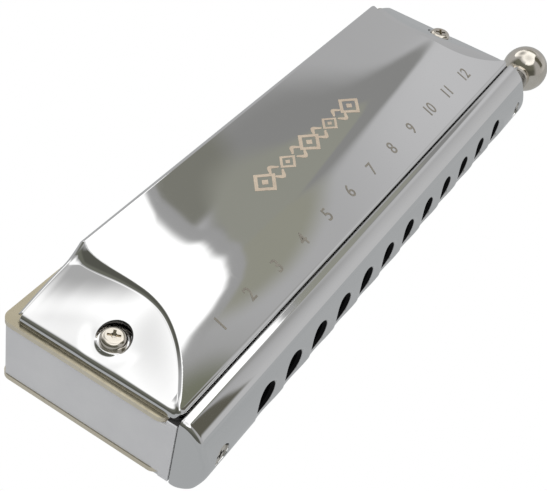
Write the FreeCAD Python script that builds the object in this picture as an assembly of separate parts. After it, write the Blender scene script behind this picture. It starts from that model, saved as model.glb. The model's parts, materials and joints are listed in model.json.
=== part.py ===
import FreeCAD, Part
import os
import math

# Twelve-hole chromatic harmonica with a slide and a ball button, one STEP file per piece.
# Frame (mm): +X along the instrument toward the button, -Y (front) toward the player's mouth,
# +Z up. x = 0 is the middle of the row of holes, z = 0 the flat of the lower cover.
# The upper pieces are modelled; the lower ones are their mirror images.

os.makedirs("parts", exist_ok=True)
V = FreeCAD.Vector
UP, DOWN = V(0, 0, 1), V(0, 0, -1)
REARWARD, FORWARD = V(0, 1, 0), V(0, -1, 0)

# ---------------------------------------------------------------- driving dimensions
PITCH = 9.0                         # hole to hole
HOLE_COUNT = 12
HOLE_X = [(k - (HOLE_COUNT - 1) / 2.0) * PITCH for k in range(HOLE_COUNT)]

BODY_X = -1.1                       # middle of the body
BODY_HALF = 67.65                   # half the body length
BODY_LEFT, BODY_RIGHT = BODY_X - BODY_HALF, BODY_X + BODY_HALF

PLATE_T = 1.05                      # reed plate thickness
COMB_T = 12.2
COVER_RISE = 6.95                   # reed plate face to the flat of a cover
PLATE_BOTTOM = COVER_RISE           # outer face of the lower reed plate
COMB_BOTTOM = PLATE_BOTTOM + PLATE_T
COMB_TOP = COMB_BOTTOM + COMB_T     # also the inner face of the upper reed plate
PLATE_TOP = COMB_TOP + PLATE_T      # outer face of the upper reed plate
Z_MID = COMB_BOTTOM + COMB_T / 2.0  # mirror plane
Z_TOP = 2 * Z_MID                   # flat of the upper cover

RAIL_REAR, RAIL_FRONT = -23.05, -25.0   # full height front rail of the comb

# air passages, heights from the middle plane
PORT_W = 4.2
PORT_TOP = 4.6
WEB_HALF = 0.5                      # half the wall between upper and lower chambers

# screw places
COVER_SCREWS = [(-63.1, -8.2), (60.9, -8.2)]
PLATE_SCREWS = [(-64.4, 4.4), (-64.4, -18.6), (-27.0, 6.4),
                (27.0, 4.6), (62.2, 4.4), (62.2, -18.6)]
MOUTH_SCREW_X = (-63.7, 62.0)


# ---------------------------------------------------------------- helpers
def box(x_from, x_to, y_from, y_to, z_from, z_to):
    """Box between two corners given in any order."""
    corner = V(min(x_from, x_to), min(y_from, y_to), min(z_from, z_to))
    return Part.makeBox(abs(x_to - x_from), abs(y_to - y_from), abs(z_to - z_from), corner)


def mid_box(x_from, x_to, y_from, y_to, z_from, z_to):
    """Box whose heights are measured from the middle plane."""
    return box(x_from, x_to, y_from, y_to, Z_MID + z_from, Z_MID + z_to)


def cylinder(radius, x, y, z, direction, length):
    return Part.makeCylinder(radius, length, V(x, y, z), direction)


def rounded_head(radius, height, rounding, x, y, z, direction):
    """Screw head standing on (x, y, z), its outer rim rounded."""
    head = cylinder(radius, x, y, z, direction, height)
    seat = V(x, y, z)
    rim = [edge for edge in head.Edges
           if edge.Closed and (edge.Vertexes[0].Point - seat).dot(direction) > height / 2]
    return head.makeFillet(rounding, rim)


def fuse(first, *others):
    return first.multiFuse(list(others)).removeSplitter()


def cut(solid, tools):
    return solid.cut(Part.makeCompound(tools))


def flip(solid):
    """The same piece for the underside."""
    return solid.mirror(V(0, 0, Z_MID), UP)


def save(name, *solids):
    shape = Part.makeCompound(solids) if len(solids) > 1 else solids[0]
    shape.exportStep("parts/%s.step" % name)


def save_pair(name, *solids):
    """Save the upper pieces and their mirror images."""
    save("upper_" + name, *solids)
    save("lower_" + name, *[flip(solid) for solid in solids])


# ---------------------------------------------------------------- reed layout
BLOW_FRONT = -19.5                  # front end of the blow slots
DRAW_FRONT = -16.8                  # front end of the draw slots
REED_SIDE = 2.05                    # reed centre to hole centre
SLOT_W = 2.3
RIVET_R = 0.7
RIVET_BACK = 2.2                    # rivet to the root end of its slot
REED_T = 0.22


def reed_length(k):
    return 20.5 - 0.95 * k


# A place is (x, y of the reed's root, Y direction root to tip, slot length).
# Blow reeds are riveted at the rear, draw reeds at the front.
BLOW_PLACES = [(x - REED_SIDE, BLOW_FRONT + reed_length(k), -1, reed_length(k))
               for k, x in enumerate(HOLE_X)]
DRAW_PLACES = [(x + REED_SIDE, DRAW_FRONT, 1, reed_length(k))
               for k, x in enumerate(HOLE_X)]


def along_slot(place, half_width, past_root, past_tip, z_from, z_to):
    """Box over a slot, reaching past its two ends."""
    x, root_y, tipward, length = place
    return box(x - half_width, x + half_width, root_y - tipward * past_root,
               root_y + tipward * (length + past_tip), z_from, z_to)


def rivet_xy(place):
    x, root_y, tipward, _ = place
    return x, root_y - tipward * RIVET_BACK


# ---------------------------------------------------------------- comb
COMB_REAR = 9.0
CHANNEL_IN, CHANNEL_OUT = 0.4, 3.75     # channel walls from the hole centre
CHANNEL_FRONT = -21.3
CHANNEL_PAST_REED = 4.5
JOIN_HALF_W, JOIN_REAR = 0.45, -18.6    # opening that joins a pair of channels
PORT_REAR = -21.2
COVER_PILOT_R, PLATE_PILOT_R, MOUTH_PILOT_R = 1.02, 0.82, 1.12
PLATE_PILOT_START = 1.5                 # from the middle plane
MOUTH_PILOT_DEPTH = 8.0
POCKET_X = (55.6, 58.6)
POCKET_Y = (-18.0, 4.0)
POCKET_Z = (1.2, 8.0)                   # from the middle plane, past the comb's face


def chambers():
    """Above and below the web: two narrow channels that join behind the port."""
    tools = []
    for k, x in enumerate(HOLE_X):
        rear = BLOW_FRONT + reed_length(k) + CHANNEL_PAST_REED
        for side in (1, -1):
            web, past_face = side * WEB_HALF, side * (COMB_T / 2.0 + 1.0)
            tools += [
                mid_box(x - CHANNEL_OUT, x - CHANNEL_IN, CHANNEL_FRONT, rear, web, past_face),
                mid_box(x + CHANNEL_IN, x + CHANNEL_OUT, CHANNEL_FRONT, rear, web, past_face),
                mid_box(x - JOIN_HALF_W, x + JOIN_HALF_W, CHANNEL_FRONT, JOIN_REAR,
                        web, past_face),
                mid_box(x - PORT_W / 2, x + PORT_W / 2, RAIL_FRONT - 0.1, PORT_REAR,
                        web, side * PORT_TOP)]
    return tools


def comb_pilot_holes():
    tools = [cylinder(COVER_PILOT_R, x, y, PLATE_BOTTOM, UP, 30) for x, y in COVER_SCREWS]
    for x, y in PLATE_SCREWS:
        tools.append(cylinder(PLATE_PILOT_R, x, y, Z_MID + PLATE_PILOT_START, UP, 12))
        tools.append(cylinder(PLATE_PILOT_R, x, y, Z_MID - PLATE_PILOT_START, DOWN, 12))
    for x in MOUTH_SCREW_X:
        tools.append(cylinder(MOUTH_PILOT_R, x, RAIL_FRONT - 0.1, Z_MID, REARWARD,
                              MOUTH_PILOT_DEPTH + 0.1))
    return tools


def moulding_pockets():
    """Two pockets in each end block, one above and one below the middle."""
    return [mid_box(end * POCKET_X[0], end * POCKET_X[1], POCKET_Y[0], POCKET_Y[1],
                    side * POCKET_Z[0], side * POCKET_Z[1])
            for end in (-1, 1) for side in (1, -1)]


def make_comb():
    block = box(BODY_LEFT, BODY_RIGHT, COMB_REAR, RAIL_REAR, COMB_BOTTOM, COMB_TOP)
    rail = box(BODY_LEFT, BODY_RIGHT, RAIL_REAR, RAIL_FRONT, PLATE_BOTTOM, PLATE_TOP)
    comb = fuse(block, rail)
    for tools in (chambers(), comb_pilot_holes(), moulding_pockets()):
        comb = cut(comb, tools)
    return comb


save("comb", make_comb())

# ---------------------------------------------------------------- reed plates
PLATE_OVERHANG = 0.2                # past the comb at each end
PLATE_REAR, PLATE_FRONT = 10.1, -23.0
PLATE_CORNER_R = 1.9
COVER_SCREW_CLEAR_R, PLATE_SCREW_CLEAR_R = 1.2, 0.9


def make_reed_plate():
    plate = box(BODY_LEFT - PLATE_OVERHANG, BODY_RIGHT + PLATE_OVERHANG,
                PLATE_FRONT, PLATE_REAR, COMB_TOP, PLATE_TOP)
    corners = [edge for edge in plate.Edges
               if abs(edge.Vertexes[0].Point.z - edge.Vertexes[1].Point.z) > 1e-6]
    plate = plate.makeFillet(PLATE_CORNER_R, corners)
    below = COMB_TOP - 1            # the cutters pass right through
    tools = []
    for place in BLOW_PLACES + DRAW_PLACES:
        tools.append(along_slot(place, SLOT_W / 2, 0, 0, below, PLATE_TOP + 1))
        tools.append(cylinder(RIVET_R, *rivet_xy(place), below, UP, 4))
    for x, y in COVER_SCREWS:
        tools.append(cylinder(COVER_SCREW_CLEAR_R, x, y, below, UP, 4))
    for x, y in PLATE_SCREWS:
        tools.append(cylinder(PLATE_SCREW_CLEAR_R, x, y, below, UP, 4))
    return cut(plate, tools)


save_pair("reed_plate", make_reed_plate())

# ---------------------------------------------------------------- reeds, rivets, valves
REED_HALF_W = SLOT_W / 2 - 0.06
REED_TIP_GAP = 0.08
REED_PAD = 4.0                      # length of the riveted pad
RIVET_SHANK_R = RIVET_R - 0.01
RIVET_HEAD_R, RIVET_HEAD_H = 0.95, 0.25     # on the reed
RIVET_TAIL_R, RIVET_TAIL_H = 0.85, 0.2      # on the far face of the plate
VALVED_HOLES = 10
VALVE_T = 0.12
VALVE_HALF_W = 1.4
VALVE_PAST_ROOT, VALVE_PAST_TIP = 1.2, 0.7


def reed(place, z):
    """Tongue and riveted pad, underside at z."""
    x, root_y, tipward, _ = place
    pad = box(x - REED_HALF_W, x + REED_HALF_W, root_y, root_y - tipward * REED_PAD,
              z, z + REED_T)
    tongue = along_slot(place, REED_HALF_W, 0, -REED_TIP_GAP, z, z + REED_T)
    return fuse(tongue, pad).cut(cylinder(RIVET_R, *rivet_xy(place), z - 1, UP, 3))


def rivet(place, shank_z, head_z, tail_z):
    """Rivet from the undersides of its shank, head and tail."""
    x, y = rivet_xy(place)
    return fuse(cylinder(RIVET_SHANK_R, x, y, shank_z, UP, PLATE_T + REED_T),
                cylinder(RIVET_HEAD_R, x, y, head_z, UP, RIVET_HEAD_H),
                cylinder(RIVET_TAIL_R, x, y, tail_z, UP, RIVET_TAIL_H))


def valve(place, z):
    """One-way valve strip over the slot, on the face without the reed."""
    return along_slot(place, VALVE_HALF_W, VALVE_PAST_ROOT, VALVE_PAST_TIP, z, z + VALVE_T)


# blow reeds lie on the comb side of the plate, draw reeds on the cover side
blow_z = COMB_TOP - REED_T
save_pair("blow_reeds", *[reed(place, blow_z) for place in BLOW_PLACES])
save_pair("draw_reeds", *[reed(place, PLATE_TOP) for place in DRAW_PLACES])
save_pair("blow_rivets", *[rivet(place, blow_z, blow_z - RIVET_HEAD_H, PLATE_TOP)
                           for place in BLOW_PLACES])
save_pair("draw_rivets", *[rivet(place, COMB_TOP, PLATE_TOP + REED_T, COMB_TOP - RIVET_TAIL_H)
                           for place in DRAW_PLACES])
save_pair("outer_valves", *[valve(place, PLATE_TOP) for place in BLOW_PLACES[:VALVED_HOLES]])
save_pair("inner_valves", *[valve(place, COMB_TOP - VALVE_T)
                            for place in DRAW_PLACES[:VALVED_HOLES]])


# ---------------------------------------------------------------- reed plate screws
def plate_screw(x, y):
    """Round head with a straight slot along X."""
    length = 4.6
    shank = cylinder(0.8, x, y, PLATE_TOP - length, UP, length)
    head = rounded_head(1.6, 0.8, 0.3, x, y, PLATE_TOP, UP)
    slot = box(x - 2, x + 2, y - 0.2, y + 0.2, PLATE_TOP + 0.4, PLATE_TOP + 2)
    return fuse(shank, head).cut(slot)


save_pair("plate_screws", *[plate_screw(x, y) for x, y in PLATE_SCREWS])

# ---------------------------------------------------------------- covers
COVER_T = 0.5
COVER_HALF = 66.9                   # half the cover length
COVER_REAR, COVER_FRONT = 7.8, -24.9
REAR_ROLL_R = 1.0                   # rounding of the rear edge
FRONT_CORNER_R = 0.9                # rounding from the slope into the upright front
FLAT_FRONT = -7.0                   # front end of the flat
SLOPE = math.radians(19.0)          # fall of the front part
SLOPE_Y, SLOPE_Z = -22.7, PLATE_TOP + 2.6   # a point on the slope
SKIRT_TOP = PLATE_TOP + 1.95        # top of the upright edge at the ends
SEAT_R, SEAT_Z = 3.0, 24.0          # screw seats

# a large arc blends the flat into the slope
BEND_Y = SLOPE_Y + (Z_TOP - SLOPE_Z) / math.tan(SLOPE)     # where flat and slope would meet
BEND_TANGENT = abs(FLAT_FRONT - BEND_Y)
BEND_R = BEND_TANGENT / math.tan(SLOPE / 2)

# plan outline of the raised part: (y, distance from the end of the body)
ARCH_LEFT = [
    (9.5, 20.0), (7.8, 18.3), (6.4, 16.9), (5.0, 15.7), (2.0, 14.95),
    (-4.5, 14.8), (-8.8, 14.5), (-13.0, 13.4), (-16.7, 11.2), (-19.8, 8.1),
    (-22.4, 4.6), (-24.2, 2.0), (-25.5, 0.9),
]
# on the button side the raised part reaches further out at the rear corner
ARCH_RIGHT = [(9.5, 11.9), (7.8, 12.1), (6.4, 12.6), (5.0, 13.3), (2.0, 14.5)] + ARCH_LEFT[5:]

# stations of the scoop surface: y, and fraction of the way from the cover's end to the arch
SCOOP_Y = [9.6, 8.0, 6.2, 4.0, 0.0, -4.0, -8.0, -12.0, -15.0, -17.5, -19.8, -21.8, -23.4, -25.4]
SCOOP_FRACTIONS = [-0.06, 0.0, 0.12, 0.25, 0.4, 0.55, 0.7, 0.85, 1.0]


def line_chain(*points):
    return [Part.makeLine(start, end) for start, end in zip(points, points[1:])]


def cover_section(offset):
    """YZ face of the cover's solid form, moved inward by offset.

    The offset form runs past the bottom and out through the open rear."""
    def point(y, z):
        return V(0, y, z)

    hollow = offset > 0
    flat_z = Z_TOP - offset
    front_y = COVER_FRONT + offset
    bottom_z = PLATE_TOP - (1.0 if hollow else 0.0)

    bend_r = BEND_R - offset

    def on_bend(angle):
        return point(FLAT_FRONT - bend_r * math.sin(angle),
                     Z_TOP - BEND_R + bend_r * math.cos(angle))

    bend_start, bend_mid, bend_end = on_bend(0), on_bend(SLOPE / 2), on_bend(SLOPE)

    # front corner, where the slope meets the upright front
    slope_y = SLOPE_Y + offset * math.sin(SLOPE)
    slope_z = SLOPE_Z - offset * math.cos(SLOPE)
    corner_z = slope_z + (front_y - slope_y) * math.tan(SLOPE)
    corner_r = FRONT_CORNER_R - offset
    turn = math.pi / 2 - SLOPE
    tangent = corner_r * math.tan(turn / 2)
    corner_start = point(front_y + tangent * math.cos(SLOPE),
                         corner_z + tangent * math.sin(SLOPE))
    corner_end = point(front_y, corner_z - tangent)
    mid_angle = math.pi - turn / 2
    corner_mid = point(front_y + corner_r + corner_r * math.cos(mid_angle),
                       corner_z - tangent + corner_r * math.sin(mid_angle))

    # rolled rear edge
    roll_r = REAR_ROLL_R - offset
    roll_y = COVER_REAR - REAR_ROLL_R
    roll_top = point(roll_y, flat_z)
    roll_mid = point(roll_y + roll_r * math.sin(math.pi / 4),
                     flat_z - roll_r + roll_r * math.cos(math.pi / 4))
    roll_end = point(roll_y + roll_r, flat_z - roll_r)

    if hollow:
        lip_z = Z_TOP - 1.2         # lower end of the rolled rear lip
        open_y = COVER_REAR + 3
        rear_foot = point(open_y, bottom_z)
        edges = line_chain(rear_foot, point(open_y, lip_z),
                           point(roll_y + roll_r, lip_z), roll_end)
    else:
        rear_foot = point(COVER_REAR, bottom_z)
        edges = line_chain(rear_foot, roll_end)
    edges.append(Part.Arc(roll_end, roll_mid, roll_top).toShape())
    edges += line_chain(roll_top, bend_start)
    edges.append(Part.Arc(bend_start, bend_mid, bend_end).toShape())
    edges += line_chain(bend_end, corner_start)
    edges.append(Part.Arc(corner_start, corner_mid, corner_end).toShape())
    edges += line_chain(corner_end, point(front_y, bottom_z), rear_foot)
    return Part.Face(Part.Wire(Part.__sortEdges__(edges)))


def section_height(y):
    """Height of the cover's outer section at y."""
    if y >= FLAT_FRONT:
        return Z_TOP
    if y > BEND_Y - BEND_TANGENT * math.cos(SLOPE):
        return Z_TOP - (BEND_R - math.sqrt(BEND_R ** 2 - (FLAT_FRONT - y) ** 2))
    return SLOPE_Z + (y - SLOPE_Y) * math.tan(SLOPE)


def arch_distance(y, outline):
    """Distance of the raised part from the body's end, interpolated in the outline."""
    if y >= outline[0][0]:
        return outline[0][1]
    for (rear_y, rear_x), (front_y, front_x) in zip(outline, outline[1:]):
        if y >= front_y:
            return front_x + (rear_x - front_x) * (y - front_y) / (rear_y - front_y)
    return outline[-1][1]


def scoop_height(fraction, y):
    """Height of the scoop floor at a fraction of the way from the end to the arch."""
    step_down = 0.12 + 0.95 * min(1.0, max(0.0, (y + 23.0) / 12.0))
    crest = max(section_height(max(y, -22.0)) - step_down, SKIRT_TOP - 0.1)
    rise = 1 - (1 - min(1.0, fraction / 0.88)) ** 1.65
    return SKIRT_TOP + (crest - SKIRT_TOP) * rise


def scoop_tool(offset, outline):
    """Solid above the scoop floor at the left end of the cover."""
    end_x = BODY_HALF - COVER_HALF + offset     # cover's end, from the body's end
    grid = []
    for y in SCOOP_Y:
        arch_x = arch_distance(y, outline) + offset
        grid.append([V(BODY_LEFT + end_x + (arch_x - end_x) * fraction, y,
                       scoop_height(max(fraction, 0.0), y) + 3.0 * min(fraction, 0) - offset)
                     for fraction in SCOOP_FRACTIONS])
    surface = Part.BSplineSurface()
    surface.interpolate(grid)
    return surface.toShape().extrude(V(0, 0, 14))


def cover_form(offset):
    """Solid form of the cover, moved inward by offset, with its screw seats."""
    half = COVER_HALF - offset
    form = cover_section(offset)
    form.translate(V(BODY_X - half, 0, 0))
    form = form.extrude(V(2 * half, 0, 0))
    form = form.cut(scoop_tool(offset, ARCH_LEFT))
    form = form.cut(scoop_tool(offset, ARCH_RIGHT).mirror(V(BODY_X, 0, 0), V(1, 0, 0)))
    seat_z = SEAT_Z - offset
    for x, y in COVER_SCREWS:
        foot_z = PLATE_TOP + (0.6 if offset == 0 else -0.5)
        post = cylinder(SEAT_R - offset, x, y, foot_z, UP, seat_z - foot_z)
        clearing = cylinder(SEAT_R + offset, x, y, seat_z, UP, 8)
        if offset == 0:
            form = form.fuse(post).cut(clearing)
        else:
            form = form.cut(clearing).fuse(post)
    return form


def make_cover():
    shell = cover_form(0.0).cut(cover_form(COVER_T))
    return cut(shell, [cylinder(COVER_SCREW_CLEAR_R, x, y, PLATE_TOP, UP, 12)
                       for x, y in COVER_SCREWS])


save_pair("cover", make_cover())


# ---------------------------------------------------------------- cover screws
def cover_screw(x, y):
    """Pan head with a cross recess, pointed tip."""
    length, tip_length = 7.6, 1.2
    arm, arm_half_w = 1.15, 0.26
    arm_bottom, arm_top = SEAT_Z + 0.65, SEAT_Z + 3
    shank = cylinder(1.0, x, y, SEAT_Z - length, UP, length)
    tip = Part.makeCone(0.35, 1.0, tip_length, V(x, y, SEAT_Z - length - tip_length), UP)
    head = rounded_head(2.3, 1.4, 0.85, x, y, SEAT_Z, UP)
    screw = fuse(tip, shank, head)
    recess = box(x - arm, x + arm, y - arm_half_w, y + arm_half_w, arm_bottom, arm_top)
    recess = recess.fuse(
        box(x - arm_half_w, x + arm_half_w, y - arm, y + arm, arm_bottom, arm_top))
    recess = recess.fuse(Part.makeCone(0.25, 0.62, 0.95, V(x, y, SEAT_Z + 0.62), UP))
    recess.rotate(V(x, y, 0), UP, 28)
    return screw.cut(recess)


save_pair("cover_screws", *[cover_screw(x, y) for x, y in COVER_SCREWS])

# ---------------------------------------------------------------- mouthpiece
MOUTH_LEFT, MOUTH_RIGHT = -68.6, 66.4
MOUTH_BACK = -25.2
MOUTH_DEPTH = 6.3                   # back to nose
NOSE_Y = MOUTH_BACK - MOUTH_DEPTH
MOUTH_BACK_HALF_H = 8.23            # half height of the back face
END_ROUND = 1.1                     # rounding of the two ends
RECESS_LEFT = -67.2                 # rear recess, open at the button end
RECESS_FRONT = -26.8
RECESS_HALF_H = 6.85
HOLE_R = 2.65
DISH_R, DISH_DEPTH = 4.46, 1.65     # rounded dish round each hole
DISH_FLOOR_R = 2.5                  # radius where the dish curve reaches full depth
HEAD_SEAT_Y = NOSE_Y + 1.75         # seat of the screw heads

# upper half of the section: (distance forward of the back, half height)
MOUTH_SECTION = [
    (0.25, 8.36), (0.8, 8.335), (1.35, 8.22), (2.0, 7.93), (2.7, 7.48), (3.3, 7.01),
    (4.1, 6.16), (4.75, 5.0), (5.45, 3.4), (6.05, 1.7), (MOUTH_DEPTH, 0.0),
]


def mouthpiece_section():
    upper = [V(0, MOUTH_BACK - depth, Z_MID + half) for depth, half in MOUTH_SECTION]
    lower = [V(0, MOUTH_BACK - depth, Z_MID - half) for depth, half in MOUTH_SECTION[-2::-1]]
    curve = Part.BSplineCurve()
    curve.interpolate(upper + lower)
    back_top = V(0, MOUTH_BACK, Z_MID + MOUTH_BACK_HALF_H)
    back_bottom = V(0, MOUTH_BACK, Z_MID - MOUTH_BACK_HALF_H)
    edges = [Part.makeLine(back_top, upper[0]), curve.toShape()]
    edges += line_chain(lower[-1], back_bottom, back_top)
    return Part.Face(Part.Wire(edges))


def dish_y(radius):
    """Surface of the dish at a radius from the hole's axis."""
    t = (radius - DISH_FLOOR_R) / (DISH_R - DISH_FLOOR_R)
    return NOSE_Y + DISH_DEPTH * (1 - t * t * (3 - 2 * t))


def hole_tool():
    """Round hole and its dish, turned about the Y axis."""
    steps = 10
    radii = [HOLE_R + (DISH_R - HOLE_R) * i / steps for i in range(steps + 1)]
    curve = Part.BSplineCurve()
    curve.interpolate([V(radius, dish_y(radius), 0) for radius in radii])
    axis_rear = V(0, RECESS_FRONT + 1, 0)
    edges = line_chain(axis_rear, V(HOLE_R, RECESS_FRONT + 1, 0), V(HOLE_R, dish_y(HOLE_R), 0))
    edges.append(curve.toShape())
    edges += line_chain(V(DISH_R, NOSE_Y, 0), V(DISH_R, NOSE_Y - 1, 0),
                        V(0, NOSE_Y - 1, 0), axis_rear)
    return Part.Face(Part.Wire(edges)).revolve(V(0, 0, 0), V(0, 1, 0), 360)


def make_mouthpiece():
    section = mouthpiece_section()
    section.translate(V(MOUTH_LEFT, 0, 0))
    body = section.extrude(V(MOUTH_RIGHT - MOUTH_LEFT, 0, 0))
    end_curves = [edge for edge in body.Edges
                  if abs(edge.BoundBox.XLength) < 1e-6
                  and edge.BoundBox.ZLength > 15 and edge.BoundBox.YLength > 3]
    body = body.makeFillet(END_ROUND, end_curves)
    tools = [mid_box(RECESS_LEFT, MOUTH_RIGHT + 1, RECESS_FRONT, MOUTH_BACK + 1,
                     -RECESS_HALF_H, RECESS_HALF_H)]
    hole = hole_tool()
    for x in HOLE_X:
        tool = hole.copy()
        tool.translate(V(x, 0, Z_MID))
        tools.append(tool)
    for x in MOUTH_SCREW_X:
        tools.append(cylinder(1.25, x, RECESS_FRONT + 1, Z_MID, FORWARD, 8))
        tools.append(cylinder(2.1, x, HEAD_SEAT_Y, Z_MID, FORWARD, 4))
    return cut(body, tools)


def mouthpiece_screw(x):
    """Round head toward the player, with a cross recess."""
    arm, arm_half_w = 1.05, 0.24
    arm_rear, arm_front = HEAD_SEAT_Y - 0.45, HEAD_SEAT_Y - 3
    shank = cylinder(1.1, x, HEAD_SEAT_Y, Z_MID, REARWARD, 10.6)
    head = rounded_head(1.9, 1.2, 0.5, x, HEAD_SEAT_Y, Z_MID, FORWARD)
    across = mid_box(x - arm, x + arm, arm_rear, arm_front, -arm_half_w, arm_half_w)
    upright = mid_box(x - arm_half_w, x + arm_half_w, arm_rear, arm_front, -arm, arm)
    return fuse(shank, head).cut(across.fuse(upright))


save("mouthpiece", make_mouthpiece())
save("mouthpiece_screws", *[mouthpiece_screw(x) for x in MOUTH_SCREW_X])

# ---------------------------------------------------------------- backing plate and channel
CASE_LEFT, CASE_RIGHT = -67.0, 65.6
CASE_HALF_H = 6.6
BACKING_FRONT = -25.6
CHANNEL_WALL_Y = (-26.30, -26.75)
CHANNEL_RAIL_Y = (-25.62, -26.35)
CHANNEL_WINDOW_HALF_W = 2.2
TRAVEL = PITCH / 2.0
SLIDE_REAR, SLIDE_FRONT = -25.65, -26.25
SLIDE_HALF_H = 5.9
CUT_REAR, CUT_FRONT = -24, -28      # cutters pass through the whole slide stack


def window(x, half_width, z_from, z_to):
    return mid_box(x - half_width, x + half_width, CUT_REAR, CUT_FRONT, z_from, z_to)


def screw_clearances():
    return [cylinder(1.2, x, CUT_REAR, Z_MID, FORWARD, CUT_REAR - CUT_FRONT)
            for x in MOUTH_SCREW_X]


def make_backing_plate():
    """Plate between the comb and the slide."""
    plate = mid_box(CASE_LEFT, CASE_RIGHT, RAIL_FRONT, BACKING_FRONT,
                    -CASE_HALF_H, CASE_HALF_H)
    windows = [window(x, PORT_W / 2, side * WEB_HALF, side * PORT_TOP)
               for x in HOLE_X for side in (1, -1)]
    return cut(plate, windows + screw_clearances())


def make_channel():
    """Front wall with the top and bottom rails that the slide runs between."""
    wall = mid_box(CASE_LEFT, CASE_RIGHT, *CHANNEL_WALL_Y, -CASE_HALF_H, CASE_HALF_H)
    rails = [mid_box(CASE_LEFT, CASE_RIGHT, *CHANNEL_RAIL_Y,
                     side * (SLIDE_HALF_H + 0.06), side * CASE_HALF_H) for side in (1, -1)]
    windows = [window(x, CHANNEL_WINDOW_HALF_W, -PORT_TOP, PORT_TOP) for x in HOLE_X]
    return cut(fuse(wall, *rails), windows + screw_clearances())


save("slide_backing_plate", make_backing_plate())
save("slide_channel", make_channel())

# ---------------------------------------------------------------- slide and button
SLIDE_LEFT, SLIDE_RIGHT = -57.6, 60.3
NECK_LEFT, NECK_RIGHT = 68.15, 71.4     # bridge that closes the fork
FORK_IN, FORK_OUT = 1.9, 5.2            # fork arms, heights from the middle plane
TANG_HALF_H = 2.6
SLIDE_WINDOW_HALF_W, SLIDE_WINDOW_TOP = 2.05, 4.5
FINGER_ROOT_X = -53.2
BALL_X, BALL_R = 81.0, 5.5
BALL_Y = (SLIDE_REAR + SLIDE_FRONT) / 2.0


def slide_box(x_from, x_to, z_from, z_to):
    return mid_box(x_from, x_to, SLIDE_REAR, SLIDE_FRONT, z_from, z_to)


def finger_tool():
    """Cuts the left end to a bevelled finger that meets the spring, clear of the coil."""
    outline = [(SLIDE_LEFT - 1, 4.0), (SLIDE_LEFT, 4.0), (SLIDE_LEFT + 1.2, 2.3),
               (FINGER_ROOT_X, 0.9), (FINGER_ROOT_X, -8), (SLIDE_LEFT - 1, -8)]
    points = [V(x, CUT_REAR, Z_MID + z) for x, z in outline]
    face = Part.Face(Part.makePolygon(points + [points[0]]))
    return face.extrude(V(0, CUT_FRONT - CUT_REAR, 0))


def make_slide():
    """Thin strip with two staggered rows of windows; its forked tail passes the screw."""
    strip = fuse(slide_box(SLIDE_LEFT, SLIDE_RIGHT, -SLIDE_HALF_H, SLIDE_HALF_H),
                 slide_box(SLIDE_RIGHT - 1, NECK_LEFT + 1, FORK_IN, FORK_OUT),
                 slide_box(SLIDE_RIGHT - 1, NECK_LEFT + 1, -FORK_OUT, -FORK_IN),
                 slide_box(NECK_LEFT, NECK_RIGHT, -FORK_OUT, FORK_OUT),
                 slide_box(NECK_RIGHT - 0.2, BALL_X - 2.0, -TANG_HALF_H, TANG_HALF_H))
    tools = []
    for x in HOLE_X:
        tools.append(window(x, SLIDE_WINDOW_HALF_W, WEB_HALF, SLIDE_WINDOW_TOP))
        tools.append(window(x + TRAVEL, SLIDE_WINDOW_HALF_W, -SLIDE_WINDOW_TOP, -WEB_HALF))
    return cut(strip, tools + [finger_tool()])


def make_button():
    """Ball with a short collar, slotted to take the slide's tang."""
    ball = Part.makeSphere(BALL_R, V(BALL_X, BALL_Y, Z_MID))
    collar = cylinder(2.9, BALL_X - 6.5, BALL_Y, Z_MID, V(1, 0, 0), 2.0)
    slot_half_h = TANG_HALF_H + 0.02
    slot = mid_box(BALL_X - 9, BALL_X - 1.98, SLIDE_REAR + 0.01, SLIDE_FRONT - 0.01,
                   -slot_half_h, slot_half_h)
    return fuse(ball, collar).cut(slot)


save("slide", make_slide())
save("slide_button", make_button())

# ---------------------------------------------------------------- return spring
POST_X, POST_Z = -62.1, Z_MID - 4.3
SPRING_Y = -25.95
WIRE_R = 0.2
COIL_R = 1.0
SPRING_GAP = 0.15                   # tip to the end of the slide
TIP_R = 0.25
TIP_REACH = 9.4                     # post to tip
FIXED_LEG = 2.6                     # length of each arm of the fixed leg


def make_spring():
    """One turn of wire round the post, working leg against the end of the slide."""
    centre = V(POST_X, SPRING_Y, POST_Z)
    leg_length = math.sqrt(TIP_REACH ** 2 - COIL_R ** 2)
    tip_lean = math.asin((SLIDE_LEFT - SPRING_GAP - TIP_R - POST_X) / TIP_REACH)
    leg_lean = tip_lean - math.atan2(COIL_R, leg_length)    # the leg leaves at a tangent
    along = V(math.sin(leg_lean), 0, math.cos(leg_lean))
    across = V(math.cos(leg_lean), 0, -math.sin(leg_lean))
    leg_start = centre + across * COIL_R
    coil = Part.makeTorus(COIL_R, WIRE_R, centre, V(0, 1, 0))
    leg = Part.makeCylinder(WIRE_R, leg_length, leg_start, along)
    tip = Part.makeSphere(TIP_R, leg_start + along * leg_length)
    return coil.fuse(leg).fuse(tip)


def make_fixed_leg():
    """L of wire left of the coil, with a ball at its elbow."""
    start_x = POST_X - COIL_R - WIRE_R - 0.1
    elbow_x = start_x - FIXED_LEG
    leg_z = POST_Z - COIL_R
    flat_arm = cylinder(WIRE_R, start_x, SPRING_Y, leg_z, V(-1, 0, 0), FIXED_LEG)
    upright_arm = cylinder(WIRE_R, elbow_x, SPRING_Y, leg_z, UP, FIXED_LEG)
    elbow = Part.makeSphere(WIRE_R, V(elbow_x, SPRING_Y, leg_z))
    return flat_arm.fuse(upright_arm).fuse(elbow).removeSplitter()


def stop_sleeve(x):
    """Soft sleeve on a mouthpiece screw; the slide stops against it."""
    sleeve = cylinder(1.5, x, SLIDE_REAR + 0.02, Z_MID, FORWARD, 0.60)
    return sleeve.cut(cylinder(1.12, x, RAIL_FRONT, Z_MID, FORWARD, 2))


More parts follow.
